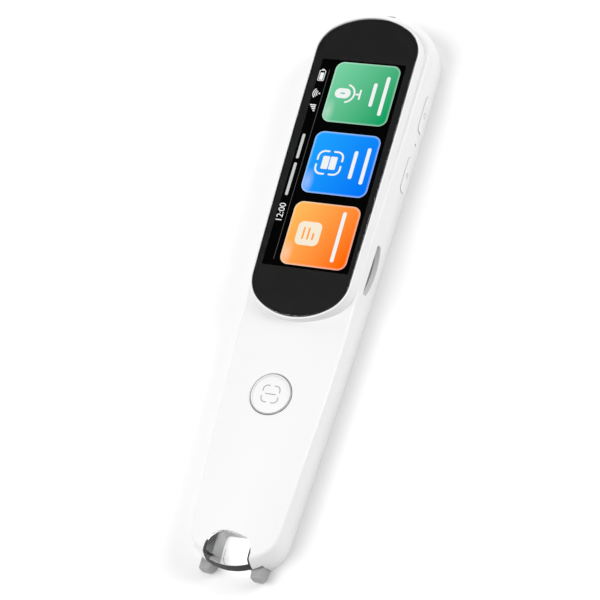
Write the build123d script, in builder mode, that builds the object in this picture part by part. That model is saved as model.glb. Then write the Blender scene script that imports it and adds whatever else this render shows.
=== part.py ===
from math import radians, sqrt, tan
import os

from build123d import *

os.makedirs("parts", exist_ok=True)

# Translator scanning pen, millimetres. It lies on its back: +Z is the screen side, +Y the top end,
# +X the side with the buttons. The origin is under the middle of its box.

# Overall sizes
shell_length = 153.45
foot_reach = 0.9
back_thickness = 2.2
seam_inset = 0.3
shoulder_inset = 0.9
edge_inset = 3.0
side_step = 3.6
wall = 1.3
floor_thickness = 1.3
lip_gap = 0.35
lip_height = 1.5
lip_thickness = 0.8

# Outline of the pen at its widest
head_half_width = 17.1
nose_half_width = 12.0
side_bow = 1.025
head_end_radius = 24.0
head_corner_radius = 12.0
nose_end_radius = 14.0
nose_corner_radius = 8.0
back_edge_radius = 0.8
front_edge_radius = 1.0

# Height of the front surface and its fall at the edge, from the nose to the head
grip_height = 11.0
head_height = 12.8
grip_fall = 3.0
head_fall = 2.7
fall_reach = 15.0
nose_slope = 0.009
rise_length = 44.0
rise_below_glass = 17.0
station_spacing = 8.0

# Cover glass and the raised surround that holds it
glass_top_margin = 3.7
glass_thickness = 0.9
glass_top_half = 13.97
glass_bottom_half = 12.93
glass_side_bow = 0.25
glass_top_radius = 18.0
glass_bottom_radius = 15.5
glass_corner_radius = 9.0
glass_gap = 0.08
glass_proud = 0.15
glass_edge_radius = 0.3
surround_rim = 0.5
surround_height = 12.85
surround_depth = 2.9
surround_lean = 12.0

# Display
display_width = 23.7
display_length = 62.0
display_thickness = 1.5
display_top_margin = 11.8
display_bottom_margin = 12.0
display_gap = 0.2
back_plate_thickness = 0.4
flex_width = 12.0
flex_thickness = 0.2
flex_bow = 2.0
flex_overlap = 3.0
flex_bend = 0.8

# Home button
home_from_glass = 20.1
home_radius = 5.5
home_gap = 0.18
home_ring_width = 0.55
home_ring_height = 0.25
home_travel = 0.4
home_flange = 0.7
home_flange_reach = 0.6
home_stem_level = 7.5

# Side buttons, measured from the upper end of the glass
button_height = 3.6
button_level = 4.7
button_corner = 1.3
button_proud = 0.2
button_gap = 0.15
button_flange = 0.5
button_pad = 1.5
button_travel = 0.35
power_length = 10.4
power_from_glass_top = 22.8
function_length = 9.8
function_from_glass_top = 40.3
microphone_from_glass_top = 31.5
microphone_hole = 0.9

# Strap slot
slot_length = 13.6
slot_height = 3.2
slot_end_height = 1.4
slot_level = 8.0
slot_depth = 1.0
slot_corner = 0.5
slot_above_glass_bottom = 17.2
slot_wall = 0.7
slot_seat_gap = 0.1

# Grille on the back
grille_pitch = 2.35
grille_hole = 0.95
wide_columns = 8
narrow_columns = 6
wide_rows = 40
narrow_rows = 10
speaker_rows = 6
grille_top_margin = 14.5
recess_depth = 0.3
recess_margin = 1.8
recess_corner = 6.0
dimple_depth = 0.35

# Nose: the arch, its window and the bay of the trigger
arch_half_width = 6.05
arch_height = 8.5
arch_corner_radius = 4.6
window_thickness = 1.1
window_gap = 0.06
window_bottom = 6.0
bay_ceiling = 6.05
bay_gap = 0.22

# Scan trigger
trigger_half_width = 8.1
trigger_plate = 2.9
trigger_length = 12.5
crossbar = 1.7
crossbar_height = 4.0
plate_height = 5.8
foot_height = 4.9
foot_length = 4.4
foot_taper = 0.35
foot_tip_radius = 0.95
foot_tip_level = 3.4
foot_slant = 2.0
foot_bulge_level = 1.5
foot_bulge = 0.5
foot_top_round = 0.6
foot_edge_radius = 0.3
trigger_back_gap = 0.1
trigger_travel = 0.4
trigger_corner_radius = 2.6
trigger_inner_radius = 1.2
stem_width = 4.0
stem_height = 1.9
stem_length = 5.0
stem_level = 2.7
pin_radius = 0.5
pin_length = 5.8
pin_gap = 0.15

# Trigger spring
spring_wire = 0.26
spring_radius = 0.9
spring_length = 4.4
spring_turns = 6
spring_seat_gap = 0.03
rib_thickness = 1.2
rib_width = 6.0
rib_height = 3.0

# Camera and lights
bezel_setback = 1.7
bezel_flange = 1.0
bezel_flange_reach = 1.5
bezel_bottom = 4.4
bezel_gap = 0.25
camera_width = 7.0
camera_height = 3.8
camera_length = 5.5
camera_level = 6.5
lens_radius = 1.5
lens_gap = 0.05
lens_setback = 0.35
lens_edge_radius = 0.4
light_size = 1.1
light_spread = 4.0
light_setback = 0.25
light_board_width = 12.0
light_board_height = 3.2
light_board_thickness = 0.6

# Boards, battery and speaker
board_level = 5.1
board_thickness = 0.8
board_inset = 4.6
board_top_margin = 4.4
battery_side_margin = 6.6
battery_length = 58.0
battery_thickness = 3.2
battery_round = 0.8
battery_pad_thickness = 0.4
battery_pad_margin = 3.0
battery_from_top = 33.0
speaker_side_margin = 7.1
speaker_length = 16.0
speaker_thickness = 2.8
speaker_corner = 2.0
speaker_cone_depth = 0.5
mesh_thickness = 0.1
gasket_thickness = 0.4
gasket_band = 1.0

# Switches on the board
switch_size = 3.0
home_switch_height = 0.8
side_switch_width = 2.2
side_switch_height = 1.9
side_switch_length = 4.0
plunger_radius = 0.5
plunger_height = 0.35
switch_clearance = 0.05
shield_size = 16.0
shield_height = 1.6
shield_from_top = 50.0
microphone_size = 1.7
boot_radius = 1.3
boot_length = 1.2
boot_gap = 0.1
antenna_width = 10.0
antenna_length = 6.0
antenna_thickness = 0.2
antenna_gap = 0.1

# Charging socket in the top end
socket_width = 8.9
socket_height = 3.2
socket_length = 7.0
socket_wall = 0.3
socket_gap = 0.15
socket_recess = 0.6
tongue_width = 6.7
tongue_thickness = 0.7
tongue_setback = 0.9

# Board screws and their bosses
screw_radius = 0.7
screw_head_radius = 1.2
screw_head_height = 0.6
screw_length = 1.9
boss_radius = 1.8
upper_screw_x = 7.6
upper_screw_from_top = 10.0
lower_screw_x = 7.2
lower_screw_above_home = 9.0

# Places worked out from the sizes above
total_length = shell_length + foot_reach
top_y = total_length / 2
nose_y = top_y - shell_length
feet_y = -total_length / 2
glass_top_y = top_y - glass_top_margin
display_top_y = glass_top_y - display_top_margin
display_bottom_y = display_top_y - display_length
display_y = (display_top_y + display_bottom_y) / 2
glass_bottom_y = display_bottom_y - display_bottom_margin
glass_top_z = surround_height + glass_proud
glass_bottom_z = glass_top_z - glass_thickness
rise_start_y = glass_bottom_y - rise_below_glass
display_bottom_z = glass_bottom_z - display_thickness
home_y = glass_bottom_y - home_from_glass
power_y = glass_top_y - power_from_glass_top
function_y = glass_top_y - function_from_glass_top
microphone_y = glass_top_y - microphone_from_glass_top
slot_y = glass_bottom_y + slot_above_glass_bottom
grille_top_y = top_y - grille_top_margin
speaker_y = grille_top_y - (speaker_rows - 1) * grille_pitch / 2
speaker_width = 2 * (head_half_width - speaker_side_margin)
battery_width = 2 * (head_half_width - battery_side_margin)
board_top_z = board_level + board_thickness
board_top_y = top_y - board_top_margin
trigger_y = feet_y + trigger_length
arch_top_y = nose_y + arch_height
bezel_y = arch_top_y + bezel_setback
flange_y = trigger_y + trigger_travel + bezel_gap
light_board_y = flange_y + bezel_flange
camera_y = light_board_y + light_board_thickness
stem_end_y = trigger_y + stem_length
rib_y = stem_end_y + spring_length
pin_end_y = stem_end_y + pin_length
plunger_y = pin_end_y + trigger_travel + switch_clearance
switch_y = plunger_y + plunger_height
board_bottom_y = switch_y
upper_screw_y = top_y - upper_screw_from_top
lower_screw_y = home_y + lower_screw_above_home


def sagitta(radius, half_width):
    return radius - sqrt(radius**2 - half_width**2)


def circle_through(first, second, third):
    """The centre and the radius of the circle through three points."""
    ends = ((first, second[1] - third[1], third[0] - second[0]),
            (second, third[1] - first[1], first[0] - third[0]),
            (third, first[1] - second[1], second[0] - first[0]))
    twice_area = 2 * sum(point[0] * across for point, across, along in ends)
    x = sum((point[0]**2 + point[1]**2) * across for point, across, along in ends) / twice_area
    y = sum((point[0]**2 + point[1]**2) * along for point, across, along in ends) / twice_area
    return x, y, sqrt((first[0] - x)**2 + (first[1] - y)**2)


def end_corner(end_y, end_radius, side_x, side_y, side_radius, way):
    """Where a round end meets the bowed side, above or below the middle of the end's circle."""
    apart = sqrt(side_x**2 + (side_y - end_y)**2)
    along = (end_radius**2 - side_radius**2 + apart**2) / (2 * apart)
    across = sqrt(end_radius**2 - along**2)
    x = (along * side_x + way * across * (side_y - end_y)) / apart
    y = end_y + (along * (side_y - end_y) - way * across * side_x) / apart
    return x, y


def long_outline(top, top_half, top_radius, top_corner, bow, bottom, bottom_half, bottom_radius,
                 bottom_corner, inset):
    """A long outline with bowed sides and round ends, moved inwards by inset, as a flat face."""
    middle_half = (top_half + bottom_half) / 2 + bow
    upper = top - sagitta(top_radius, top_half)
    lower = bottom + sagitta(bottom_radius, bottom_half)
    middle = (upper + lower) / 2
    side_x, side_y, side_radius = circle_through((top_half, upper), (middle_half, middle),
                                                 (bottom_half, lower))
    scale = (side_radius - inset) / side_radius
    side = (side_x + (middle_half - side_x) * scale, side_y + (middle - side_y) * scale)
    upper_corner = end_corner(top - top_radius, top_radius - inset, side_x, side_y, side_radius - inset, 1)
    lower_corner = end_corner(bottom + bottom_radius, bottom_radius - inset, side_x, side_y,
                              side_radius - inset, -1)
    with BuildSketch() as outline:
        with BuildLine():
            ThreePointArc((-upper_corner[0], upper_corner[1]), (0, top - inset), upper_corner)
            ThreePointArc(upper_corner, side, lower_corner)
            ThreePointArc(lower_corner, (0, bottom + inset), (-lower_corner[0], lower_corner[1]))
            ThreePointArc((-lower_corner[0], lower_corner[1]), (-side[0], side[1]),
                          (-upper_corner[0], upper_corner[1]))
        make_face()
        fillet(outline.vertices().group_by(Axis.Y)[-1], top_corner - inset)
        fillet(outline.vertices().group_by(Axis.Y)[0], bottom_corner - inset)
    return outline.sketch


def body_outline(inset):
    """The outline of the pen at its widest, moved inwards by inset."""
    return long_outline(top_y, head_half_width, head_end_radius, head_corner_radius, side_bow,
                        nose_y, nose_half_width, nose_end_radius, nose_corner_radius, inset)


def glass_outline(inset):
    """The outline of the cover glass, moved inwards by inset."""
    return long_outline(glass_top_y, glass_top_half, glass_top_radius, glass_corner_radius,
                        glass_side_bow, glass_bottom_y, glass_bottom_half, glass_bottom_radius,
                        glass_corner_radius, inset)


side_insets = (seam_inset, 0, shoulder_inset, edge_inset)


def body_form(inset):
    """The bowed side walls, moved inwards by inset and carried up past the front."""
    with BuildPart() as form:
        for step in range(len(side_insets)):
            with BuildSketch(Plane.XY.offset(back_thickness + step * side_step)):
                add(body_outline(inset + side_insets[step]))
        loft()
    return form.part


def front_height(y):
    """Height of the front surface on the centre line, and its fall towards the edge."""
    step = min(max((y - rise_start_y) / rise_length, 0), 1)
    blend = step * step * (3 - 2 * step)
    nose_drop = nose_slope * max(home_y - y, 0)
    centre = grip_height + (head_height - grip_height) * blend - nose_drop
    return centre, grip_fall + (head_fall - grip_fall) * blend


def front_form(lowered):
    """Everything under the crowned front surface, lowered by the given amount."""
    reach = head_half_width + wall
    spans = round((shell_length + 2 * wall) / station_spacing)
    spacing = (shell_length + 2 * wall) / spans
    with BuildPart() as form:
        for span in range(spans + 1):
            y = nose_y - wall + span * spacing
            centre, fall = front_height(y)
            edge = centre - fall * (reach / fall_reach) ** 2
            with BuildSketch(Plane.XZ.offset(-y)):
                with BuildLine():
                    ThreePointArc((-reach, edge - lowered), (0, centre - lowered), (reach, edge - lowered))
                    Polyline((reach, edge - lowered), (reach, -wall), (-reach, -wall),
                             (-reach, edge - lowered))
                make_face()
        loft()
    return form.part


def wall_x(y, z):
    """The outer face of the side wall at a place along the pen and a height."""
    upper = top_y - sagitta(head_end_radius, head_half_width)
    lower = nose_y + sagitta(nose_end_radius, nose_half_width)
    share = (y - lower) / (upper - lower)
    straight = nose_half_width + (head_half_width - nose_half_width) * share
    widest = straight + 4 * side_bow * share * (1 - share)
    above_widest = (z - back_thickness) / side_step - 1
    if above_widest < 0:
        return widest - seam_inset * above_widest**2
    return widest - shoulder_inset * above_widest**2


def front_z(x, y):
    """The outer face of the crowned front."""
    centre, fall = front_height(y)
    return centre - fall * (x / fall_reach) ** 2


outer_form = body_form(0)
inner_form = body_form(wall)
front_surface = front_form(0)

# The whole outside of the front shell, before anything is cut into it
with BuildPart() as outside:
    add(outer_form)
    add(front_surface, mode=Mode.INTERSECT)
    fillet(outside.faces().sort_by(Axis.Z)[-1].edges(), front_edge_radius)

# The room inside it
with BuildPart() as room:
    add(inner_form)
    add(front_form(wall), mode=Mode.INTERSECT)

# The bay in the nose where the trigger slides, seen from above
with BuildSketch() as bay_outline:
    bay_width = 2 * (trigger_half_width + bay_gap)
    bay_top_y = trigger_y + trigger_travel + bay_gap
    bay_length = bay_top_y - feet_y
    with Locations((0, bay_top_y - bay_length / 2)):
        Rectangle(bay_width, bay_length)
    fillet(bay_outline.vertices().group_by(Axis.Y)[-1], trigger_corner_radius + bay_gap)

# The arch through the front of the nose, seen from above
def arch_outline(gap):
    length = arch_top_y - gap - feet_y
    with BuildSketch() as arch:
        with Locations((0, feet_y + length / 2)):
            Rectangle(2 * (arch_half_width - gap), length)
        fillet(arch.vertices().group_by(Axis.Y)[-1], arch_corner_radius - gap)
    return arch.sketch


def slot_outline(grow):
    """The strap slot seen from the side: a straight upper edge and a bowed lower one."""
    half = slot_length / 2
    end_level = slot_level - slot_end_height
    with BuildSketch() as slot:
        with BuildLine():
            Polyline((slot_y - half, end_level), (slot_y - half, slot_level), (slot_y + half, slot_level),
                     (slot_y + half, end_level))
            ThreePointArc((slot_y + half, end_level), (slot_y, slot_level - slot_height),
                          (slot_y - half, end_level))
        make_face()
        fillet(slot.vertices(), slot_corner)
        if grow != 0:
            offset(amount=grow)
    return slot.sketch


# Front shell
with BuildPart() as front_shell:
    add(outside.part)
    for drop in (0, surround_depth):
        with BuildSketch(Plane.XY.offset(surround_height - drop)):
            add(glass_outline(-surround_rim - drop * tan(radians(surround_lean))))
    loft(ruled=True)
    add(room.part, mode=Mode.SUBTRACT)
    # recess for the glass and the opening for the display under it
    with BuildSketch(Plane.XY.offset(glass_bottom_z)):
        add(glass_outline(-glass_gap))
    extrude(amount=glass_thickness, mode=Mode.SUBTRACT)
    with BuildSketch(Plane.XY.offset(board_top_z)):
        with Locations((0, display_y)):
            Rectangle(display_width + 2 * display_gap, display_length + 2 * display_gap)
    extrude(amount=glass_top_z - board_top_z, mode=Mode.SUBTRACT)
    # bosses for the board screws
    for y, x in ((upper_screw_y, upper_screw_x), (lower_screw_y, lower_screw_x)):
        with BuildSketch(Plane.XY.offset(board_top_z)):
            with Locations((x, y), (-x, y)):
                Circle(boss_radius)
        extrude(amount=front_z(x, y) - wall / 2 - board_top_z)
        with BuildSketch(Plane.XY.offset(board_top_z)):
            with Locations((x, y), (-x, y)):
                Circle(screw_radius)
        extrude(amount=screw_length, mode=Mode.SUBTRACT)
    # home button hole
    with BuildSketch(Plane.XY.offset(board_top_z)):
        with Locations((0, home_y)):
            Circle(home_radius)
    extrude(amount=glass_top_z - board_top_z, mode=Mode.SUBTRACT)
    # side buttons, microphone hole and strap slot
    with BuildSketch(Plane.YZ.offset(nose_half_width - 2 * wall)):
        with Locations((power_y, button_level)):
            RectangleRounded(power_length, button_height, button_corner)
        with Locations((function_y, button_level)):
            RectangleRounded(function_length, button_height, button_corner)
        with Locations((microphone_y, button_level)):
            Circle(microphone_hole / 2)
        add(slot_outline(0))
    extrude(amount=head_half_width, mode=Mode.SUBTRACT)
    # mouth of the charging socket
    with BuildSketch(Plane.XZ.offset(-top_y)):
        with Locations((0, board_top_z + socket_height / 2)):
            SlotOverall(socket_width + 2 * socket_gap, socket_height + 2 * socket_gap)
    extrude(amount=socket_length, mode=Mode.SUBTRACT)
    # bay and arch of the nose
    with BuildSketch(Plane.XY):
        add(bay_outline.sketch)
    extrude(amount=bay_ceiling, mode=Mode.SUBTRACT)
    with BuildSketch(Plane.XY):
        add(arch_outline(0))
    extrude(amount=glass_top_z, mode=Mode.SUBTRACT)
front_shell.part.label = "front_shell"
export_step(front_shell.part, "parts/front_shell.step")


# Grille of the back: real holes over the speaker, dimples below
grille_rows = wide_rows + narrow_rows + 2
grille_bottom_y = grille_top_y - (grille_rows - 1) * grille_pitch


def grille_row(row):
    """How many holes a row has: the first is narrow, then wide rows, narrow rows and a point."""
    if row == 0:
        return narrow_columns
    if row < wide_rows:
        return wide_columns
    return min(narrow_columns, 2 * (grille_rows - row))


def row_places(row, first, last):
    """The places of some of a row's holes, counted from its middle outwards."""
    count = grille_row(row)
    places = []
    for column in range(count):
        x = (column - (count - 1) / 2) * grille_pitch
        if first <= abs(x) <= last:
            places.append((x, grille_top_y - row * grille_pitch))
    return places


real_holes = []
dimples = []
real_reach = (narrow_columns - 1) * grille_pitch / 2
for row in range(grille_rows):
    if row == speaker_rows - 1:
        real_holes += row_places(row, 0, real_reach)
        dimples += row_places(row, real_reach + grille_hole, head_half_width)
    elif row < speaker_rows:
        real_holes += row_places(row, 0, head_half_width)
    else:
        dimples += row_places(row, 0, head_half_width)

# Back shell
with BuildPart() as back_shell:
    with BuildSketch(Plane.XY):
        add(body_outline(seam_inset))
    extrude(amount=back_thickness)
    fillet(back_shell.faces().sort_by(Axis.Z)[0].edges(), back_edge_radius)
    with BuildSketch(Plane.XY.offset(floor_thickness)):
        add(body_outline(seam_inset + wall))
    extrude(amount=back_thickness, mode=Mode.SUBTRACT)
    # lip that stands inside the front shell
    with BuildSketch(Plane.XY.offset(floor_thickness)):
        add(body_outline(seam_inset + wall + lip_gap))
        add(body_outline(seam_inset + wall + lip_gap + lip_thickness), mode=Mode.SUBTRACT)
    extrude(amount=lip_height)
    # rib that holds the trigger pin and its spring
    with BuildSketch(Plane.XY.offset(floor_thickness)):
        with Locations((0, rib_y + rib_thickness / 2)):
            Rectangle(rib_width, rib_thickness)
    extrude(amount=rib_height)
    with BuildSketch(Plane.XZ.offset(-rib_y - rib_thickness)):
        with Locations((0, stem_level)):
            Circle(pin_radius + pin_gap)
    extrude(amount=rib_thickness, mode=Mode.SUBTRACT)
    # grille recess
    with BuildSketch(Plane.XY) as recess:
        half_top = (wide_columns - 1) * grille_pitch / 2 + recess_margin
        half_bottom = (narrow_columns - 1) * grille_pitch / 2 + recess_margin
        recess_top_y = grille_top_y + recess_margin
        recess_bottom_y = grille_bottom_y - recess_margin
        Polygon((half_top, recess_top_y), (-half_top, recess_top_y), (-half_bottom, recess_bottom_y),
                (half_bottom, recess_bottom_y), align=None)
        fillet(recess.vertices(), recess_corner)
    extrude(amount=recess_depth, mode=Mode.SUBTRACT)
    with BuildSketch(Plane.XY.offset(recess_depth)):
        with Locations(*real_holes):
            Circle(grille_hole / 2)
    extrude(amount=floor_thickness, mode=Mode.SUBTRACT)
    with BuildSketch(Plane.XY.offset(recess_depth)):
        with Locations(*dimples):
            Circle(grille_hole / 2)
    extrude(amount=dimple_depth, mode=Mode.SUBTRACT)
    # bay of the trigger
    with BuildSketch(Plane.XY):
        add(bay_outline.sketch)
    extrude(amount=bay_ceiling, mode=Mode.SUBTRACT)
back_shell.part.label = "back_shell"
export_step(back_shell.part, "parts/back_shell.step")

# Cover glass
with BuildPart() as cover_glass:
    with BuildSketch(Plane.XY.offset(glass_bottom_z)):
        add(glass_outline(0))
    extrude(amount=glass_thickness)
    fillet(cover_glass.faces().sort_by(Axis.Z)[-1].edges(), glass_edge_radius)
cover_glass.part.label = "cover_glass"
export_step(cover_glass.part, "parts/cover_glass.step")

# Display panel under the glass, its back plate and the flex that folds down to the board
with BuildPart() as display_panel:
    with BuildSketch(Plane.XY.offset(display_bottom_z)):
        with Locations((0, display_y)):
            Rectangle(display_width, display_length)
    extrude(amount=display_thickness)
display_panel.part.label = "display_panel"
export_step(display_panel.part, "parts/display_panel.step")

with BuildPart() as display_back_plate:
    with BuildSketch(Plane.XY.offset(display_bottom_z - back_plate_thickness)):
        with Locations((0, display_y)):
            Rectangle(display_width, display_length)
    extrude(amount=back_plate_thickness)
display_back_plate.part.label = "display_back_plate"
export_step(display_back_plate.part, "parts/display_back_plate.step")

with BuildPart() as display_flex:
    upper_z = display_bottom_z - back_plate_thickness - flex_thickness / 2
    lower_z = board_top_z + flex_thickness / 2
    with BuildSketch(Plane.YZ.offset(-flex_width / 2)):
        with BuildLine():
            FilletPolyline((display_bottom_y + flex_overlap, upper_z), (display_bottom_y - flex_bow, upper_z),
                           (display_bottom_y - flex_bow, lower_z), (display_bottom_y + flex_overlap, lower_z),
                           radius=flex_bend)
        trace(line_width=flex_thickness)
    extrude(amount=flex_width)
display_flex.part.label = "display_flex"
export_step(display_flex.part, "parts/display_flex.step")

# Home button: a disc that follows the front, with a raised ring, a flange and a post
with BuildPart() as home_button:
    disc_radius = home_radius - home_gap
    with BuildSketch(Plane.XY.offset(home_stem_level)):
        with Locations((0, home_y)):
            Circle(disc_radius)
    extrude(amount=head_height)
    add(front_surface, mode=Mode.INTERSECT)
    with BuildPart(mode=Mode.PRIVATE) as ring:
        with BuildSketch(Plane.XY.offset(home_stem_level)):
            with Locations((0, home_y)):
                Circle(disc_radius)
                Circle(disc_radius - home_ring_width, mode=Mode.SUBTRACT)
        extrude(amount=head_height)
        add(front_form(-home_ring_height), mode=Mode.INTERSECT)
    add(ring.part)
    with BuildSketch(Plane.XY.offset(home_stem_level)):
        with Locations((0, home_y)):
            Circle(disc_radius + home_flange_reach)
    extrude(amount=home_flange)
home_button.part.label = "home_button"
export_step(home_button.part, "parts/home_button.step")


def side_button(y, length, label):
    """A side button: it follows the wall outside, and a flange holds it inside."""
    pad_x = wall_x(y, button_level) - wall - button_pad
    with BuildPart() as button:
        with BuildSketch(Plane.YZ.offset(pad_x)):
            with Locations((y, button_level)):
                RectangleRounded(length - 2 * button_gap, button_height - 2 * button_gap,
                                 button_corner - button_gap)
        extrude(amount=head_half_width - pad_x)
        add(body_form(-button_proud), mode=Mode.INTERSECT)
        with BuildPart(mode=Mode.PRIVATE) as flange:
            with BuildSketch(Plane.YZ.offset(pad_x)):
                with Locations((y, button_level)):
                    RectangleRounded(length + 2 * button_flange, button_height - 2 * button_gap,
                                     button_flange)
            extrude(amount=head_half_width - pad_x)
            add(body_form(wall + button_gap), mode=Mode.INTERSECT)
        add(flange.part)
    button.part.label = label
    export_step(button.part, f"parts/{label}.step")
    return button.part


def side_switch(y, label):
    """A switch under the board's edge, its plunger towards the button."""
    tip_x = wall_x(y, button_level) - wall - button_pad - button_travel - switch_clearance
    body_x = tip_x - plunger_height - side_switch_width
    with BuildPart() as switch:
        with BuildSketch(Plane.XY.offset(board_level - side_switch_height)):
            with Locations((body_x + side_switch_width / 2, y)):
                Rectangle(side_switch_width, side_switch_length)
        extrude(amount=side_switch_height)
        with BuildSketch(Plane.YZ.offset(body_x + side_switch_width / 2)):
            with Locations((y, board_level - side_switch_height / 2)):
                Circle(plunger_radius)
        extrude(amount=side_switch_width / 2 + plunger_height)
    switch.part.label = label
    export_step(switch.part, f"parts/{label}.step")
    return switch.part


power_button = side_button(power_y, power_length, "power_button")
function_button = side_button(function_y, function_length, "function_button")
power_switch = side_switch(power_y, "power_switch")
function_switch = side_switch(function_y, "function_switch")

# Switch under the home button
with BuildPart() as home_switch:
    with BuildSketch(Plane.XY.offset(board_top_z)):
        with Locations((0, home_y)):
            Rectangle(switch_size, switch_size)
    extrude(amount=home_switch_height)
    with BuildSketch(Plane.XY.offset(board_top_z)):
        with Locations((0, home_y)):
            Circle(plunger_radius)
    extrude(amount=home_stem_level - home_travel - switch_clearance - board_top_z)
home_switch.part.label = "home_switch"
export_step(home_switch.part, "parts/home_switch.step")

# Liner of the strap slot: a shallow cup behind the slot, against the inside of the wall
with BuildPart() as slot_liner:
    liner_floor_x = wall_x(slot_y, slot_level) - wall - slot_depth
    with BuildSketch(Plane.YZ.offset(liner_floor_x - slot_wall)):
        add(slot_outline(slot_wall))
    extrude(amount=head_half_width - liner_floor_x)
    add(body_form(wall + slot_seat_gap), mode=Mode.INTERSECT)
    with BuildSketch(Plane.YZ.offset(liner_floor_x)):
        add(slot_outline(0))
    extrude(amount=head_half_width, mode=Mode.SUBTRACT)
slot_liner.part.label = "slot_liner"
export_step(slot_liner.part, "parts/slot_liner.step")

# Clear window that fills the arch and turns down over the tip of the nose
with BuildPart() as nose_window:
    add(outside.part)
    with BuildPart(mode=Mode.PRIVATE) as window_room:
        add(body_form(window_thickness))
        add(front_form(window_thickness), mode=Mode.INTERSECT)
    add(window_room.part, mode=Mode.SUBTRACT)
    with BuildSketch(Plane.XY.offset(window_bottom)):
        add(arch_outline(window_gap))
    extrude(amount=glass_top_z, mode=Mode.INTERSECT)
nose_window.part.label = "nose_window"
export_step(nose_window.part, "parts/nose_window.step")

# Scan trigger: a crossbar, two side plates that end in feet, a stem and a pin
with BuildPart() as scan_trigger:
    plate_inner = trigger_half_width - trigger_plate
    foot_top_y = feet_y + foot_length
    with BuildSketch(Plane.XY.offset(trigger_back_gap)) as plan:
        with Locations((0, (trigger_y + feet_y) / 2)):
            Rectangle(2 * trigger_half_width, trigger_y - feet_y)
        fillet(plan.vertices().group_by(Axis.Y)[-1], trigger_corner_radius)
        with BuildSketch(mode=Mode.PRIVATE) as inner:
            with Locations((0, (trigger_y - crossbar + feet_y) / 2)):
                Rectangle(2 * plate_inner, trigger_y - crossbar - feet_y)
            fillet(inner.vertices().group_by(Axis.Y)[-1], trigger_inner_radius)
        add(inner.sketch, mode=Mode.SUBTRACT)
        add(body_outline(seam_inset), mode=Mode.INTERSECT)
    extrude(amount=plate_height - trigger_back_gap)
    # the crossbar is lower than the side plates
    with BuildSketch(Plane.XY.offset(crossbar_height)):
        with Locations((0, trigger_y)):
            Rectangle(2 * plate_inner, 2 * (crossbar + trigger_inner_radius))
    extrude(amount=plate_height, mode=Mode.SUBTRACT)
    # feet: low, narrow and rounded at the tip
    foot_inner = plate_inner + foot_taper
    with BuildPart(mode=Mode.PRIVATE) as foot:
        with BuildSketch(Plane.XY) as foot_plan:
            Polygon((plate_inner, foot_top_y), (foot_inner, feet_y), (trigger_half_width, feet_y),
                    (trigger_half_width, foot_top_y), align=None)
            fillet(foot_plan.vertices().group_by(Axis.Y)[0], foot_tip_radius)
        extrude(amount=plate_height)
        with BuildSketch(Plane.YZ):
            with BuildLine():
                Polyline((feet_y + foot_slant, trigger_back_gap), (foot_top_y, trigger_back_gap),
                         (foot_top_y, foot_height), (feet_y + foot_top_round, foot_height),
                         (feet_y, foot_tip_level))
                ThreePointArc((feet_y, foot_tip_level), (feet_y + foot_bulge, foot_bulge_level),
                              (feet_y + foot_slant, trigger_back_gap))
            make_face()
        extrude(amount=trigger_half_width, mode=Mode.INTERSECT)
        fillet(foot.faces().sort_by(Axis.Z)[-1].edges().sort_by(Axis.Y)[:-1], foot_edge_radius)
    add(foot.part)
    mirror(foot.part, about=Plane.YZ)
    # stem and pin
    with BuildSketch(Plane.XY.offset(stem_level - stem_height / 2)):
        with Locations((0, (trigger_y + stem_end_y) / 2)):
            Rectangle(stem_width, stem_end_y - trigger_y)
    extrude(amount=stem_height)
    with BuildSketch(Plane.XZ.offset(-stem_end_y + stem_length / 2)):
        with Locations((0, stem_level)):
            Circle(pin_radius)
    extrude(amount=-(stem_length / 2 + pin_length))
scan_trigger.part.label = "scan_trigger"
export_step(scan_trigger.part, "parts/scan_trigger.step")

# Return spring round the pin, between the stem and the rib of the back shell
with BuildPart() as trigger_spring:
    coil_height = spring_length - spring_wire - 2 * spring_seat_gap
    coil_start = (0, stem_end_y + spring_seat_gap + spring_wire / 2, stem_level)
    with BuildLine() as coil:
        Helix(pitch=coil_height / spring_turns, height=coil_height, radius=spring_radius,
              center=coil_start, direction=(0, 1, 0))
    with BuildSketch(Plane(origin=coil.line @ 0, z_dir=coil.line % 0)):
        Circle(spring_wire / 2)
    sweep(path=coil.line)
trigger_spring.part.label = "trigger_spring"
export_step(trigger_spring.part, "parts/trigger_spring.step")

# Switch under the end of the board, in line with the trigger pin
with BuildPart() as trigger_switch:
    with BuildSketch(Plane.XY.offset(stem_level - plunger_radius - switch_clearance)):
        with Locations((0, switch_y + switch_size / 2)):
            Rectangle(switch_size, switch_size)
    extrude(amount=board_level - stem_level + plunger_radius + switch_clearance)
    with BuildSketch(Plane.XZ.offset(-plunger_y)):
        with Locations((0, stem_level)):
            Circle(plunger_radius)
    extrude(amount=-(plunger_height + switch_size / 2))
trigger_switch.part.label = "trigger_switch"
export_step(trigger_switch.part, "parts/trigger_switch.step")

# Camera bezel: the roof of the nose, open for the lens and the two lights
with BuildPart() as camera_bezel:
    bezel_half = trigger_half_width - trigger_plate - bezel_gap
    bezel_top = front_z(0, bezel_y)
    with BuildSketch(Plane.XZ.offset(-bezel_y)):
        with Locations((0, (bezel_bottom + bezel_top) / 2)):
            Rectangle(2 * bezel_half, bezel_top - bezel_bottom)
    extrude(amount=-(light_board_y - bezel_y))
    with BuildSketch(Plane.XZ.offset(-flange_y)):
        with Locations((0, (bezel_bottom + bezel_top) / 2)):
            Rectangle(2 * (trigger_half_width + bezel_flange_reach), bezel_top - bezel_bottom)
    extrude(amount=-bezel_flange)
    add(front_form(wall + lens_gap), mode=Mode.INTERSECT)
    with BuildSketch(Plane.XZ.offset(-bezel_y)):
        with Locations((0, camera_level)):
            Circle(lens_radius + lens_gap)
        with Locations((light_spread, camera_level), (-light_spread, camera_level)):
            Rectangle(light_size + 2 * lens_gap, light_size + 2 * lens_gap)
    extrude(amount=-(light_board_y - bezel_y), mode=Mode.SUBTRACT)
camera_bezel.part.label = "camera_bezel"
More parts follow.
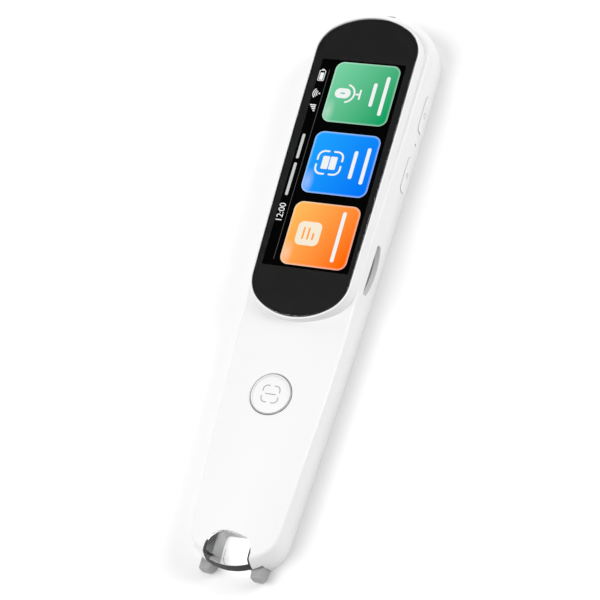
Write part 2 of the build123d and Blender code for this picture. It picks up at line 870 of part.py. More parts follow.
export_step(camera_bezel.part, "parts/camera_bezel.step")

# Light board behind the bezel, with a light each side of the lens
with BuildPart() as light_board:
    with BuildSketch(Plane.XZ.offset(-light_board_y)):
        with Locations((0, camera_level)):
            Rectangle(light_board_width, light_board_height)
            Circle(lens_radius + lens_gap, mode=Mode.SUBTRACT)
    extrude(amount=-light_board_thickness)
    with BuildSketch(Plane.XZ.offset(-bezel_y - light_setback)):
        with Locations((light_spread, camera_level), (-light_spread, camera_level)):
            Rectangle(light_size, light_size)
    extrude(amount=-(light_board_y - bezel_y - light_setback))
light_board.part.label = "light_board"
export_step(light_board.part, "parts/light_board.step")

# Lens and camera
with BuildPart() as camera_lens:
    with BuildSketch(Plane.XZ.offset(-bezel_y - lens_setback)):
        with Locations((0, camera_level)):
            Circle(lens_radius)
    extrude(amount=-(camera_y - bezel_y - lens_setback))
    fillet(camera_lens.faces().sort_by(Axis.Y)[0].edges(), lens_edge_radius)
camera_lens.part.label = "camera_lens"
export_step(camera_lens.part, "parts/camera_lens.step")

with BuildPart() as camera_module:
    with BuildSketch(Plane.XZ.offset(-camera_y)):
        with Locations((0, camera_level)):
            Rectangle(camera_width, camera_height)
    extrude(amount=-camera_length)
camera_module.part.label = "camera_module"
export_step(camera_module.part, "parts/camera_module.step")

# Main board, its shield, the microphone and its rubber boot
with BuildPart() as main_board:
    with BuildSketch(Plane.XY.offset(board_level)):
        add(body_outline(board_inset))
        with Locations((0, (board_top_y + board_bottom_y) / 2)):
            Rectangle(2 * head_half_width, board_top_y - board_bottom_y, mode=Mode.INTERSECT)
        for y, x in ((upper_screw_y, upper_screw_x), (lower_screw_y, lower_screw_x)):
            with Locations((x, y), (-x, y)):
                Circle(screw_radius, mode=Mode.SUBTRACT)
    extrude(amount=board_thickness)
main_board.part.label = "main_board"
export_step(main_board.part, "parts/main_board.step")

with BuildPart() as processor_shield:
    with BuildSketch(Plane.XY.offset(board_top_z)):
        with Locations((0, top_y - shield_from_top)):
            RectangleRounded(shield_size, shield_size, shield_height / 2)
    extrude(amount=shield_height)
processor_shield.part.label = "processor_shield"
export_step(processor_shield.part, "parts/processor_shield.step")

boot_end_x = wall_x(microphone_y, button_level - boot_radius) - wall - boot_gap
with BuildPart() as microphone_boot:
    with BuildSketch(Plane.YZ.offset(boot_end_x - boot_length)):
        with Locations((microphone_y, button_level)):
            Circle(boot_radius)
            Circle(microphone_hole / 2, mode=Mode.SUBTRACT)
    extrude(amount=boot_length)
microphone_boot.part.label = "microphone_boot"
export_step(microphone_boot.part, "parts/microphone_boot.step")

with BuildPart() as microphone:
    with BuildSketch(Plane.YZ.offset(boot_end_x - boot_length - microphone_size)):
        with Locations((microphone_y, button_level)):
            Rectangle(2 * boot_radius, 2 * boot_radius)
    extrude(amount=microphone_size)
microphone.part.label = "microphone"
export_step(microphone.part, "parts/microphone.step")

# Battery on its adhesive pad
battery_y = top_y - battery_from_top - battery_length / 2
with BuildPart() as battery_pad:
    with BuildSketch(Plane.XY.offset(floor_thickness)):
        with Locations((0, battery_y)):
            Rectangle(battery_width - 2 * battery_pad_margin, battery_length - 2 * battery_pad_margin)
    extrude(amount=battery_pad_thickness)
battery_pad.part.label = "battery_pad"
export_step(battery_pad.part, "parts/battery_pad.step")

with BuildPart() as battery:
    with BuildSketch(Plane.XY.offset(floor_thickness + battery_pad_thickness)):
        with Locations((0, battery_y)):
            Rectangle(battery_width, battery_length)
    extrude(amount=battery_thickness)
    fillet(battery.edges().filter_by(Axis.Y), battery_round)
battery.part.label = "battery"
export_step(battery.part, "parts/battery.step")

# Speaker over the real holes, with its mesh and gasket
with BuildPart() as speaker_mesh:
    with BuildSketch(Plane.XY.offset(floor_thickness)):
        with Locations((0, speaker_y)):
            Rectangle(speaker_width, speaker_length)
    extrude(amount=mesh_thickness)
speaker_mesh.part.label = "speaker_mesh"
export_step(speaker_mesh.part, "parts/speaker_mesh.step")

with BuildPart() as speaker_gasket:
    with BuildSketch(Plane.XY.offset(floor_thickness + mesh_thickness)):
        with Locations((0, speaker_y)):
            Rectangle(speaker_width, speaker_length)
            Rectangle(speaker_width - 2 * gasket_band, speaker_length - 2 * gasket_band, mode=Mode.SUBTRACT)
    extrude(amount=gasket_thickness)
speaker_gasket.part.label = "speaker_gasket"
export_step(speaker_gasket.part, "parts/speaker_gasket.step")

with BuildPart() as speaker:
    speaker_bottom_z = floor_thickness + mesh_thickness + gasket_thickness
    with BuildSketch(Plane.XY.offset(speaker_bottom_z)):
        with Locations((0, speaker_y)):
            RectangleRounded(speaker_width, speaker_length, speaker_corner)
    extrude(amount=speaker_thickness)
    with BuildSketch(Plane.XY.offset(speaker_bottom_z)):
        with Locations((0, speaker_y)):
            RectangleRounded(speaker_width - 4 * gasket_band, speaker_length - 4 * gasket_band,
                             speaker_corner)
    extrude(amount=speaker_cone_depth, mode=Mode.SUBTRACT)
speaker.part.label = "speaker"
export_step(speaker.part, "parts/speaker.step")

# Charging socket: a flat tube with a tongue inside
with BuildPart() as charging_socket:
    socket_z = board_top_z + socket_height / 2
    mouth_y = top_y - socket_recess
    with BuildSketch(Plane.XZ.offset(-mouth_y)):
        with Locations((0, socket_z)):
            SlotOverall(socket_width, socket_height)
    extrude(amount=socket_length)
    with BuildSketch(Plane.XZ.offset(-mouth_y)):
        with Locations((0, socket_z)):
            SlotOverall(socket_width - 2 * socket_wall, socket_height - 2 * socket_wall)
    extrude(amount=socket_length - socket_height / 2, mode=Mode.SUBTRACT)
    with BuildSketch(Plane.XZ.offset(-mouth_y + tongue_setback)):
        with Locations((0, socket_z)):
            Rectangle(tongue_width, tongue_thickness)
    extrude(amount=socket_length - tongue_setback)
charging_socket.part.label = "charging_socket"
export_step(charging_socket.part, "parts/charging_socket.step")

# Antenna on the ceiling at the top end
with BuildPart() as antenna:
    antenna_y = display_top_y + antenna_gap + antenna_length / 2
    antenna_top_z = front_z(antenna_width / 2, antenna_y + antenna_length / 2) - wall - antenna_gap
    with BuildSketch(Plane.XY.offset(antenna_top_z - antenna_thickness)):
        with Locations((0, antenna_y)):
            Rectangle(antenna_width, antenna_length)
    extrude(amount=antenna_thickness)
antenna.part.label = "antenna"
export_step(antenna.part, "parts/antenna.step")

# Four screws that hold the board to the bosses of the front shell
with BuildPart() as board_screws:
    for y, x in ((upper_screw_y, upper_screw_x), (lower_screw_y, lower_screw_x)):
        with BuildSketch(Plane.XY.offset(board_level - screw_head_height)):
            with Locations((x, y), (-x, y)):
                Circle(screw_head_radius)
        extrude(amount=screw_head_height)
        with BuildSketch(Plane.XY.offset(board_level)):
            with Locations((x, y), (-x, y)):
                Circle(screw_radius)
        extrude(amount=board_thickness + screw_length)
board_screws.part.label = "board_screws"
export_step(board_screws.part, "parts/board_screws.step")
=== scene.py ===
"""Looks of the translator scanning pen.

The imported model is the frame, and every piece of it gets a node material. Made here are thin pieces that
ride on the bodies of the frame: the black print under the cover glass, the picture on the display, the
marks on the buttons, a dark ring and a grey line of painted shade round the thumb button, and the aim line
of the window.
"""
from math import atan2, cos, pi, radians, sin

import bmesh
import bpy
from mathutils import Matrix, Vector


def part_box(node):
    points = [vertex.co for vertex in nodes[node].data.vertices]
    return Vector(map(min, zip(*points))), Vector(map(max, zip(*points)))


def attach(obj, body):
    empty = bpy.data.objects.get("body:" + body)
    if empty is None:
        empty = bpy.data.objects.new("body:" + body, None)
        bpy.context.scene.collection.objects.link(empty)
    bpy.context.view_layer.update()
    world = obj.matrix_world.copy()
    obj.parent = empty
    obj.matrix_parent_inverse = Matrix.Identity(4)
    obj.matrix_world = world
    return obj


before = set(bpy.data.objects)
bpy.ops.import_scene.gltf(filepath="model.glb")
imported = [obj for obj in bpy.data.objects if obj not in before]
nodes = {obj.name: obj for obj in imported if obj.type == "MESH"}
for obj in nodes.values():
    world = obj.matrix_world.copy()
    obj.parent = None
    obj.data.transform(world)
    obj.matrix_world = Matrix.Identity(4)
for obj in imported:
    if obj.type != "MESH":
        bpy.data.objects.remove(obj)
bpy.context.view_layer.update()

# One millimetre in metres
MM = 0.001
scene = bpy.context.scene


# Shader helpers

# Places of the colour sockets on a mix node
MIX_FACTOR = 0
MIX_FIRST = 6
MIX_SECOND = 7
MIX_RESULT = 2


def feed(tree, socket, value):
    """Gives a socket another node's output, a colour or any other value."""
    if isinstance(value, bpy.types.NodeSocket):
        tree.links.new(value, socket)
    elif socket.type == "RGBA":
        socket.default_value = (*value, 1)
    else:
        socket.default_value = value


def add_node(tree, kind, inputs=None, **settings):
    """A shader node with its settings and inputs."""
    node = tree.nodes.new(kind)
    for name, value in settings.items():
        setattr(node, name, value)
    for name, value in (inputs or {}).items():
        feed(tree, node.inputs[name], value)
    return node


def compute(tree, operation, *values):
    """The result of a math node."""
    return add_node(tree, "ShaderNodeMath", dict(enumerate(values)), operation=operation).outputs[0]


def measure(tree, operation, first, second):
    """The number that a vector math node works out from two vectors."""
    inputs = {0: first, 1: second}
    return add_node(tree, "ShaderNodeVectorMath", inputs, operation=operation).outputs["Value"]


def spread(tree, value, low, high, new_low, new_high):
    """value carried from one range to another, and kept inside it."""
    inputs = {"Value": value, "From Min": low, "From Max": high, "To Min": new_low, "To Max": new_high}
    return add_node(tree, "ShaderNodeMapRange", inputs, clamp=True).outputs["Result"]


def blend(tree, factor, first, second):
    """The colour between two others, where factor goes from 0 to 1."""
    inputs = {MIX_FACTOR: factor, MIX_FIRST: first, MIX_SECOND: second}
    return add_node(tree, "ShaderNodeMix", inputs, data_type="RGBA").outputs[MIX_RESULT]


def toned(color, share):
    """A colour at that share of its brightness."""
    return [part * share for part in color]


def noise(tree, place, size, detail):
    """Noise whose patches are about that many millimetres across."""
    inputs = {"Vector": place, "Scale": 1 / (size * MM), "Detail": detail}
    return add_node(tree, "ShaderNodeTexNoise", inputs).outputs["Fac"]


def stretched(tree, place, scale):
    """Coordinates stretched along the axes."""
    return add_node(tree, "ShaderNodeMapping", {"Vector": place, "Scale": scale}).outputs["Vector"]


def split(tree, place):
    """The outputs X, Y and Z of a place."""
    return add_node(tree, "ShaderNodeSeparateXYZ", {"Vector": place}).outputs


def relief(tree, height, depth):
    """The normal of a bump that is depth millimetres high."""
    return add_node(tree, "ShaderNodeBump", {"Height": height, "Distance": depth * MM}).outputs["Normal"]


def start_material(name):
    """A new node material, with its tree, its shader and the place on the object."""
    material = bpy.data.materials.new(name)
    material.use_nodes = True
    tree = material.node_tree
    place = add_node(tree, "ShaderNodeTexCoord").outputs["Object"]
    return material, tree, tree.nodes["Principled BSDF"], place


def shade(tree, shader, **inputs):
    """Sets the inputs of a shader, with underscores for the spaces of their names."""
    for name, value in inputs.items():
        feed(tree, shader.inputs[name.replace("_", " ")], value)


# Materials. Sizes and depths are in millimetres.

def moulded(name, color, rough, grain=0.35, depth=0.0012, drift=0.03, shine=0.5):
    """Moulded plastic: a fine spark-eroded grain, and a tone and a gloss that drift a little."""
    drift_size = 14
    gloss_drift = 0.05
    material, tree, shader, place = start_material(name)
    fine = noise(tree, place, grain, detail=4)
    broad = noise(tree, place, drift_size, detail=0)
    shade(tree, shader, Base_Color=blend(tree, broad, toned(color, 1 - drift), color),
          Roughness=spread(tree, broad, low=0.0, high=1.0,
                           new_low=rough - gloss_drift, new_high=rough + gloss_drift),
          Specular_IOR_Level=shine, Normal=relief(tree, fine, depth))
    return material


def brushed(name, color, rough, along):
    """Drawn or brushed metal: fine lines along an axis, 0 for X and 1 for Y."""
    line_size = 0.08
    line_squeeze = 0.05
    line_depth = 0.003
    line_tone = 0.75
    gloss_drift = 0.08
    material, tree, shader, place = start_material(name)
    scale = [line_squeeze if axis == along else 1 for axis in range(3)]
    lines = noise(tree, stretched(tree, place, scale), line_size, detail=4)
    shade(tree, shader, Base_Color=blend(tree, lines, toned(color, line_tone), color), Metallic=1.0,
          Roughness=spread(tree, lines, low=0.3, high=0.7,
                           new_low=rough - gloss_drift, new_high=rough + gloss_drift),
          Normal=relief(tree, lines, line_depth))
    return material


def woven(name, color, thread):
    """A fine woven mesh: threads over and under each other. thread is one radian of its waves."""
    # A wave texture of scale 1 turns 20 radians in a metre
    scale = 1 / (20 * thread * MM)
    gap_tone = 0.3
    thread_depth = 0.03
    material, tree, shader, place = start_material(name)
    waves = []
    for direction in ("X", "Y"):
        inputs = {"Vector": place, "Scale": scale}
        node = add_node(tree, "ShaderNodeTexWave", inputs, bands_direction=direction)
        waves.append(node.outputs["Fac"])
    threads = compute(tree, "MULTIPLY", waves[0], waves[1])
    shade(tree, shader, Base_Color=blend(tree, threads, toned(color, gap_tone), color), Roughness=0.8,
          Normal=relief(tree, threads, thread_depth))
    return material


def clear(name, color, ior, smudge):
    """Clear glass or plastic with faint smudges in its polish, which are at most smudge rough."""
    smudge_size = 9
    smudge_tone = 0.985
    material, tree, shader, place = start_material(name)
    patches = noise(tree, place, smudge_size, detail=4)
    shade(tree, shader, Base_Color=blend(tree, patches, toned(color, smudge_tone), color),
          Roughness=spread(tree, patches, low=0.45, high=0.75, new_low=0.0, new_high=smudge),
          IOR=ior, Transmission_Weight=1.0)
    return material


def glowing(tree, shader, color, strength):
    """Makes a shader glow and mirror nothing."""
    shade(tree, shader, Base_Color=(0.0, 0.0, 0.0), Roughness=0.6, Specular_IOR_Level=0.0,
          Emission_Color=color, Emission_Strength=strength)


def lit(name, color):
    """A lit part of the display, with the faint grid of its pixels."""
    pixel_pitch = 0.09
    pixel_gap_tone = 0.94
    material, tree, shader, place = start_material(name)
    inputs = {"Vector": place, "Scale": 1 / (pixel_pitch * MM), "Randomness": 0.0}
    cell = add_node(tree, "ShaderNodeTexVoronoi", inputs)
    grid = spread(tree, cell.outputs["Distance"], low=0.2, high=0.6, new_low=1, new_high=0)
    glowing(tree, shader, blend(tree, grid, toned(color, pixel_gap_tone), color), strength=1.0)
    return material


def beyond(tree, coordinate, limit):
    """How far a coordinate lies outside the limit on either side, or 0."""
    size = compute(tree, "ABSOLUTE", coordinate)
    return compute(tree, "MAXIMUM", compute(tree, "SUBTRACT", size, limit), 0.0)


def tile_material(name, light, deep, half, corner):
    """A lit tile: its colour deepens towards one corner, and its rim and one corner are lighter."""
    slant = 0.45
    rim_width = 0.6
    rim_share = 0.40
    rim_color = (0.8, 0.95, 0.9)
    # The middle of the lighter corner, as shares of half the tile
    glint_x = -0.86
    glint_y = -0.30
    glint_squeeze = 0.45
    glint_radius = 1.9
    glint_share = 0.30
    glow = 1.05
    material, tree, shader, place = start_material(name)
    parts = split(tree, place)
    across = compute(tree, "DIVIDE", parts["X"], half[0] * MM)
    along = compute(tree, "DIVIDE", parts["Y"], half[1] * MM)
    slope = compute(tree, "SUBTRACT", across, compute(tree, "MULTIPLY", along, slant))
    fall = spread(tree, slope, low=-1.3, high=1.2, new_low=0, new_high=1)
    color = blend(tree, fall, light, deep)
    # Distance from the centre of the corner's arc, which is the corner's radius on the edge
    over_x = beyond(tree, parts["X"], (half[0] - corner) * MM)
    over_y = beyond(tree, parts["Y"], (half[1] - corner) * MM)
    square_x = compute(tree, "MULTIPLY", over_x, over_x)
    square_y = compute(tree, "MULTIPLY", over_y, over_y)
    reach = compute(tree, "SQRT", compute(tree, "ADD", square_x, square_y))
    rim = spread(tree, reach, (corner - rim_width) * MM, corner * MM, 0, rim_share)
    color = blend(tree, rim, color, rim_color)
    flattened = stretched(tree, place, (1.0, glint_squeeze, 1.0))
    spot = measure(tree, "DISTANCE", flattened, (half[0] * glint_x * MM, half[1] * glint_y * MM, 0))
    glint = spread(tree, spot, 0.0, glint_radius * MM, glint_share, 0)
    glowing(tree, shader, blend(tree, glint, color, (1, 1, 1)), glow)
    return material


def window_material(name, low, high, tip_radius, wall):
    """The clear window of the nose. The outside of its turned-down wall and its two sides are painted
    dark: painted shade for the underside of the wall seen through the clear plastic, and for the shaded
    gaps at the sides.

    low and high are its corners in metres. tip_radius and wall are the radius of its tip and the
    thickness of that wall.
    """
    wall_margin = 0.1
    wall_start = (tip_radius - wall + wall_margin) * MM
    top = high.z - 2.1 * MM
    side_start = high.x - 0.38 * MM
    side_end = high.x - 0.30 * MM
    under_start = low.z + 0.02 * MM
    under_end = low.z + 0.06 * MM
    wall_blur = 0.03 * MM
    top_blur = 0.1 * MM
    # Painted shade: the tone of the outside of the wall and of the two side strips
    dark = (0.05, 0.05, 0.052)
    pale = (0.98, 0.985, 0.985)
    smudge_size = 4
    material, tree, shader, place = start_material(name)
    parts = split(tree, place)
    center = (0, low.y + tip_radius * MM, 0)
    reach = measure(tree, "DISTANCE", stretched(tree, place, (1, 1, 0)), center)
    behind = spread(tree, reach, wall_start - wall_blur, wall_start + wall_blur, 1, 0)
    above = spread(tree, parts["Z"], top - top_blur, top + top_blur, 0, 1)
    under = spread(tree, parts["Z"], under_start, under_end, 1, 0)
    aside = compute(tree, "ABSOLUTE", parts["X"])
    between = spread(tree, aside, side_start, side_end, 1, 0)
    outside = compute(tree, "MAXIMUM", compute(tree, "MAXIMUM", above, behind), under)
    clear_part = compute(tree, "MULTIPLY", outside, between)
    patches = noise(tree, place, smudge_size, detail=3)
    shade(tree, shader, Base_Color=blend(tree, clear_part, dark, pale),
          Roughness=spread(tree, patches, low=0.4, high=0.75, new_low=0.0, new_high=0.04),
          IOR=1.12, Transmission_Weight=clear_part)
    return material


def board_material(name):
    """A circuit board: green solder mask with lighter tracks."""
    track_scale = 2.2
    track_width = 0.03
    track_depth = 0.02
    mask_green = (0.012, 0.09, 0.04)
    track_green = (0.04, 0.22, 0.1)
    material, tree, shader, place = start_material(name)
    inputs = {"Vector": place, "Scale": 1 / (track_scale * MM), "Mortar Size": track_width}
    tracks = add_node(tree, "ShaderNodeTexBrick", inputs).outputs["Fac"]
    shade(tree, shader, Base_Color=blend(tree, tracks, mask_green, track_green), Roughness=0.4,
          Normal=relief(tree, tracks, track_depth))
    return material


WHITE = (0.82, 0.82, 0.824)
WHITE_DRIFT = 0.012
WINDOW_TIP_RADIUS = 14.0
WINDOW_WALL = 1.1
white_front = moulded("white_shell", WHITE, rough=0.30, drift=WHITE_DRIFT)
white_back = moulded("white_back", WHITE, rough=0.36, drift=WHITE_DRIFT)
white_key = moulded("white_button", WHITE, rough=0.30, drift=WHITE_DRIFT)
grey_plastic = moulded("grey_plastic", (0.34, 0.34, 0.34), rough=0.45)
bezel_grey = moulded("bezel_grey", (0.14, 0.14, 0.14), rough=0.5)
camera_black = moulded("camera_black", (0.012, 0.012, 0.012), rough=0.5)
switch_black = moulded("switch_black", (0.02, 0.02, 0.02), rough=0.5)
soft_rubber = moulded("soft_rubber", (0.03, 0.03, 0.03), rough=0.8, grain=0.5, depth=0.02)
light_cream = moulded("light_board", (0.75, 0.75, 0.66), rough=0.5)
shade(light_cream.node_tree, light_cream.node_tree.nodes["Principled BSDF"],
      Emission_Color=(1.0, 1.0, 0.95), Emission_Strength=2.0)
film = moulded("flex_film", (0.4, 0.17, 0.03), rough=0.35, grain=1.5)
foil = moulded("battery_foil", (0.5, 0.51, 0.53), rough=0.35, grain=3.0, depth=0.05)
shield_steel = brushed("shield_steel", (0.62, 0.62, 0.63), rough=0.3, along=0)
spring_steel = brushed("spring_steel", (0.55, 0.55, 0.56), rough=0.3, along=1)
mesh_black = woven("speaker_mesh", (0.03, 0.03, 0.03), thread=0.15)
cover_clear = clear("cover_glass", (1.0, 1.0, 1.0), ior=1.5, smudge=0.04)
lens_black = moulded("lens_glass", (0.01, 0.01, 0.02), rough=0.08, grain=1.0, depth=0.0005)
window_low, window_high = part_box("nose_window")
window_clear = window_material("clear_window", window_low, window_high, WINDOW_TIP_RADIUS, WINDOW_WALL)
board_green = board_material("board_green")
display_off = moulded("display", (0.004, 0.004, 0.004), rough=0.4, grain=0.1, depth=0.001)

finishes = {
    "front_shell": white_front,
    "back_shell": white_back,
    "home_button": white_key,
    "power_button": white_key,
    "function_button": white_key,
    "cover_glass": cover_clear,
    "display_panel": display_off,
    "display_back_plate": shield_steel,
    "display_flex": film,
    "power_switch": switch_black,
    "function_switch": switch_black,
    "home_switch": switch_black,
    "slot_liner": grey_plastic,
    "nose_window": window_clear,
    "scan_trigger": grey_plastic,
    "trigger_spring": spring_steel,
    "trigger_switch": switch_black,
    "camera_bezel": bezel_grey,
    "light_board": light_cream,
    "camera_lens": lens_black,
    "camera_module": camera_black,
    "main_board": board_green,
    "processor_shield": shield_steel,
    "microphone_boot": soft_rubber,
    "microphone": shield_steel,
    "battery_pad": soft_rubber,
    "battery": foil,
    "speaker_mesh": mesh_black,
    "speaker_gasket": soft_rubber,
    "speaker": camera_black,
    "charging_socket": shield_steel,
    "antenna": film,
    "board_screws": spring_steel,
}
for name, material in finishes.items():
    mesh = nodes[name].data
    mesh.materials.clear()
    mesh.materials.append(material)

# The window and the cover glass throw no shadow, and soft light passes the window as if it weren't there
nodes["nose_window"].visible_shadow = False
nodes["nose_window"].visible_diffuse = False
nodes["cover_glass"].visible_shadow = False


# Outlines, in millimetres

# The corners of a rectangle: the signs of x and y there, and the angle where the corner's arc starts
CORNERS = ((1, 1, 0), (-1, 1, 90), (-1, -1, 180), (1, -1, 270))
CORNER_STEPS = 10
CAP_STEPS = 8


def arc(x, y, radius, start, end, steps=24):
    """Points along an arc, with its angles in degrees."""
    turns = [radians(start + (end - start) * step / steps) for step in range(steps + 1)]
    return [(x + radius * cos(turn), y + radius * sin(turn)) for turn in turns]


def rounded(x, y, width, height, radius, steps=CORNER_STEPS):
    """A rounded rectangle, with its centre at x and y."""
    loop = []
    for side_x, side_y, start in CORNERS:
        loop += arc(x + side_x * (width / 2 - radius), y + side_y * (height / 2 - radius), radius,
                    start, start + 90, steps)
    return loop


def stroke(path, width):
    """The outline of a line with round ends drawn along a path."""
    half = width / 2
    left = []
    right = []
    turns = []
    for index, (x, y) in enumerate(path):
        before = path[max(index - 1, 0)]
        after = path[min(index + 1, len(path) - 1)]
        turn = atan2(after[1] - before[1], after[0] - before[0])
        left.append((x - half * sin(turn), y + half * cos(turn)))
        right.append((x + half * sin(turn), y - half * cos(turn)))
        turns.append(turn * 180 / pi)
    start_cap = arc(*path[0], half, turns[0] + 90, turns[0] + 270, CAP_STEPS)[1:-1]
    end_cap = arc(*path[-1], half, turns[-1] - 90, turns[-1] + 90, CAP_STEPS)[1:-1]
    return right + end_cap + left[::-1] + start_cap


def circle(x, y, radius, parts=32):
    """A circle drawn with that many sides."""
    return arc(x, y, radius, 0, 360 - 360 / parts, parts - 1)


def ring(x, y, radius, width, parts=32):
    """Two loops, the inner one a hole."""
    return [circle(x, y, radius + width / 2, parts), circle(x, y, radius - width / 2, parts)]


def turned(loops, x, y):
    """Loops drawn upright, turned so that their top points to the left of the pen, and moved."""
    return [[(x - up, y + right) for right, up in loop] for loop in loops]


def bracket_corners(width, height, radius, gap, line):
    """A rounded frame with a gap in the middle of each side."""
    loops = []
    for side_x, side_y, start in CORNERS:
        center_x = side_x * (width / 2 - radius)
        center_y = side_y * (height / 2 - radius)
        bend = arc(center_x, center_y, radius, start, start + 90, CORNER_STEPS)
        upright_end = (side_x * width / 2, side_y * gap / 2)
        level_end = (side_x * gap / 2, side_y * height / 2)
        if side_x == side_y:
            path = [upright_end] + bend + [level_end]
        else:
            path = [level_end] + bend + [upright_end]
        loops.append(stroke(path, line))
    return loops


# Pieces

def flat_mesh(curve):
    """The mesh of a filled curve that is drawn in millimetres, in metres."""
    carrier = bpy.data.objects.new(curve.name, curve)
    scene.collection.objects.link(carrier)
    graph = bpy.context.evaluated_depsgraph_get()
    mesh = bpy.data.meshes.new_from_object(carrier.evaluated_get(graph), depsgraph=graph)
    bpy.data.objects.remove(carrier)
    mesh.transform(Matrix.Scale(MM, 4))
    return mesh


def filled(name, loops, thickness):
    """The mesh of thin plates. A loop inside another is a hole."""
    curve = bpy.data.curves.new(name, "CURVE")
    curve.dimensions = "2D"
    curve.fill_mode = "BOTH"
    curve.extrude = thickness / 2
    for loop in loops:
        spline = curve.splines.new("POLY")
        spline.points.add(len(loop) - 1)
        for point, (x, y) in zip(spline.points, loop):
            point.co = (x, y, 0, 1)
        spline.use_cyclic_u = True
    return flat_mesh(curve)


def digits(name, text, height, thickness):
    """The mesh of plain digits, lying along X and centred."""
    # The height of a digit as a share of the size of the font
    digit_share = 0.72
    curve = bpy.data.curves.new(name, "FONT")
    curve.body = text
    curve.size = height / digit_share
    curve.extrude = thickness / 2
    curve.align_x = "CENTER"
    curve.align_y = "CENTER"
    return flat_mesh(curve)


def add_piece(name, mesh, location, material, body):
    """Adds a piece that rides on a body of the frame."""
    piece = bpy.data.objects.new(name, mesh)
    piece.location = location
    mesh.materials.clear()
    mesh.materials.append(material)
    scene.collection.objects.link(piece)
    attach(piece, body)


# Black print under the cover glass, with a window for the display

# The print and the picture lie on thin levels, a layer apart, from the underside of the glass upwards
LAYER = 0.02
GROUND_LEVEL = 1
TILE_LEVEL = 2
PRINT_LEVEL = 2
SIGN_LEVEL = 3
ACTIVE_WIDTH = 23.3
ACTIVE_LENGTH = 59.7
ACTIVE_CORNER = 0.3
PRINT_INSET = 0.06

glass_low, glass_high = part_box("cover_glass")
glass_y = (glass_low.y + glass_high.y) / 2 / MM
glass_z = glass_low.z / MM
display_low, display_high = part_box("display_panel")
display_x = (display_low.x + display_high.x) / 2 / MM
display_y = (display_low.y + display_high.y) / 2 / MM

# The edge of the glass, taken at its underside, pulled in a little
rim_points = {(round(vertex.co.x / MM, 4), round(vertex.co.y / MM, 4))
              for vertex in nodes["cover_glass"].data.vertices
              if vertex.co.z < glass_low.z + LAYER * MM}
print_loop = []
for x, y in sorted(rim_points, key=lambda point: atan2(point[1] - glass_y, point[0])):
    away = Vector((x, y - glass_y))
    inner = away - away.normalized() * PRINT_INSET
    print_loop.append((inner.x, inner.y + glass_y))
active_loop = rounded(display_x, display_y, ACTIVE_WIDTH, ACTIVE_LENGTH, ACTIVE_CORNER)
black_print = moulded("glass_print", (0.007, 0.007, 0.007), rough=0.5, grain=0.4, depth=0.001, shine=0.1)
add_piece("glass_print", filled("glass_print", [print_loop, active_loop], LAYER / 2),
          (0, 0, (glass_z + PRINT_LEVEL * LAYER) * MM), black_print, "body")

# The picture on the display: it is read with the top end of the pen to the right

screen_black = lit("screen_black", (0.0008, 0.0008, 0.0009))
screen_white = lit("screen_white", (0.95, 0.97, 0.97))
screen_dim = lit("screen_dim", (0.13, 0.13, 0.13))
screen_soft = lit("screen_soft", (0.62, 0.64, 0.64))
screen_pale = lit("screen_pale", (1.0, 0.90, 0.72))


def screen_piece(name, loops, level, material, center=(0, 0)):
    """A lit piece of the picture, on one of its thin levels."""
    z = (glass_z + level * LAYER) * MM
    location = (center[0] * MM, center[1] * MM, z)
    add_piece(name, filled(name, loops, LAYER / 4), location, material, "body")


def sign(name, loops, center, material):
    """A sign drawn upright. center is its x and its distance from the middle of the display."""
    x, along = center
    screen_piece(name, turned(loops, x, display_y + along), SIGN_LEVEL, material)


GROUND_OVERLAP = 0.4
ground_loop = rounded(0, 0, ACTIVE_WIDTH + GROUND_OVERLAP, ACTIVE_LENGTH + GROUND_OVERLAP, ACTIVE_CORNER)
screen_piece("screen_ground", [ground_loop], GROUND_LEVEL, screen_black, (display_x, display_y))

# Each tile has its distance from the middle of the display, its light colour and its deep one
TILE_X = 1.65
TILE_WIDTH = 17.9
TILE_LENGTH = 17.7
TILE_CORNER = 2.3
tile_half = (TILE_WIDTH / 2, TILE_LENGTH / 2)
tiles = {
    "tile_green": (20.5, (0.19, 0.64, 0.37), (0.006, 0.35, 0.125)),
    "tile_blue": (0, (0.012, 0.36, 1.0), (0.0, 0.18, 0.93)),
    "tile_orange": (-20.25, (1.0, 0.50, 0.11), (1.0, 0.145, 0.0)),
}
for name, (along, light, deep) in tiles.items():
    material = tile_material(name, light, deep, tile_half, TILE_CORNER)
    screen_piece(name, [rounded(0, 0, TILE_WIDTH, TILE_LENGTH, TILE_CORNER)], TILE_LEVEL, material,
                 (TILE_X, display_y + along))

# Signs on the tiles: a microphone, a scan frame round a page, and a page with lines
SIGN_LINE = 0.5
MICROPHONE_CENTER = (-2.2, 20.2)
SCAN_CENTER = (-1.6, 0)
PAGE_CENTER = (-1.6, -20.15)
microphone_head = [rounded(0, 1.2, 2.9, 4.3, 1.4), rounded(0, 1.2, 0.4, 1.3, 0.18)]
microphone_holder = [stroke(arc(0, 0.6, 2.6, 195, 345), SIGN_LINE)]
microphone_stand = [rounded(0, -2.83, SIGN_LINE, 0.9, 0.05), rounded(0, -3.55, 3.0, SIGN_LINE, 0.24)]
sign("mark_microphone", microphone_head, MICROPHONE_CENTER, screen_white)
sign("mark_holder", microphone_holder, MICROPHONE_CENTER, screen_white)
sign("mark_stand", microphone_stand, MICROPHONE_CENTER, screen_white)

scan_frame = bracket_corners(width=6.5, height=6.7, radius=1.7, gap=1.5, line=SIGN_LINE)
scan_frame += [rounded(0, 1.05, 3.7, 1.85, 0.3), rounded(0, -1.05, 3.7, 1.85, 0.3)]
sign("mark_scan_frame", scan_frame, SCAN_CENTER, screen_white)

page = [rounded(0, 0, 6.6, 6.4, 1.5)]
for height, length in ((1.35, 3.4), (0, 3.4), (-1.35, 2.0)):
    page.append(rounded(length / 2 - 1.7, height, length, SIGN_LINE, 0.24))
sign("mark_page", page, PAGE_CENTER, screen_pale)

